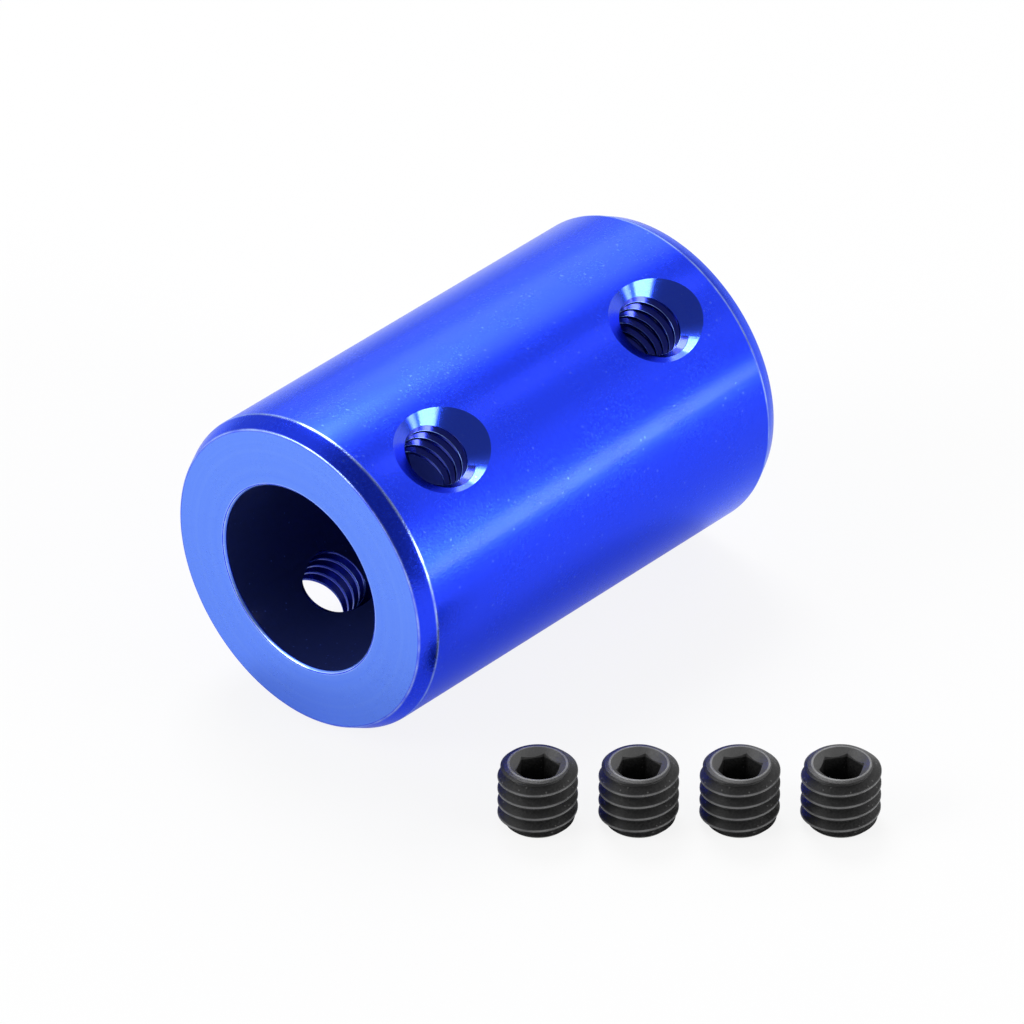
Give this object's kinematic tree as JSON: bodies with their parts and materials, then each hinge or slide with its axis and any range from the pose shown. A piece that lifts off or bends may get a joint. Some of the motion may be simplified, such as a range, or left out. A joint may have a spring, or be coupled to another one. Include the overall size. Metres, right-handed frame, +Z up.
{
  "type": "rigid shaft coupling",
  "caption": "One-piece cylindrical rigid shaft coupling with a stepped bore and countersunk tapped cross holes, lying beside its standing hexagon-socket set screws.",
  "frame": {"origin": "on the bore's axis, at the step between the front bore and the back bore", "axes": "+X along the bore towards the back end, +Z up from the floor that the coupling and its set screws rest on, -Y towards the set screws"},
  "size_m": [0.0266, 0.0357, 0.017],
  "materials": {
    "blue_anodised": "satin blue anodised, bright blue on the turned end face",
    "black_oxide": "satin black oxide on alloy steel"
  },
  "bodies": {
    "root": {"coupling_body": "blue_anodised", "set_screw_1": "black_oxide", "set_screw_2": "black_oxide", "set_screw_3": "black_oxide", "set_screw_4": "black_oxide"}
  },
  "joints": []
}
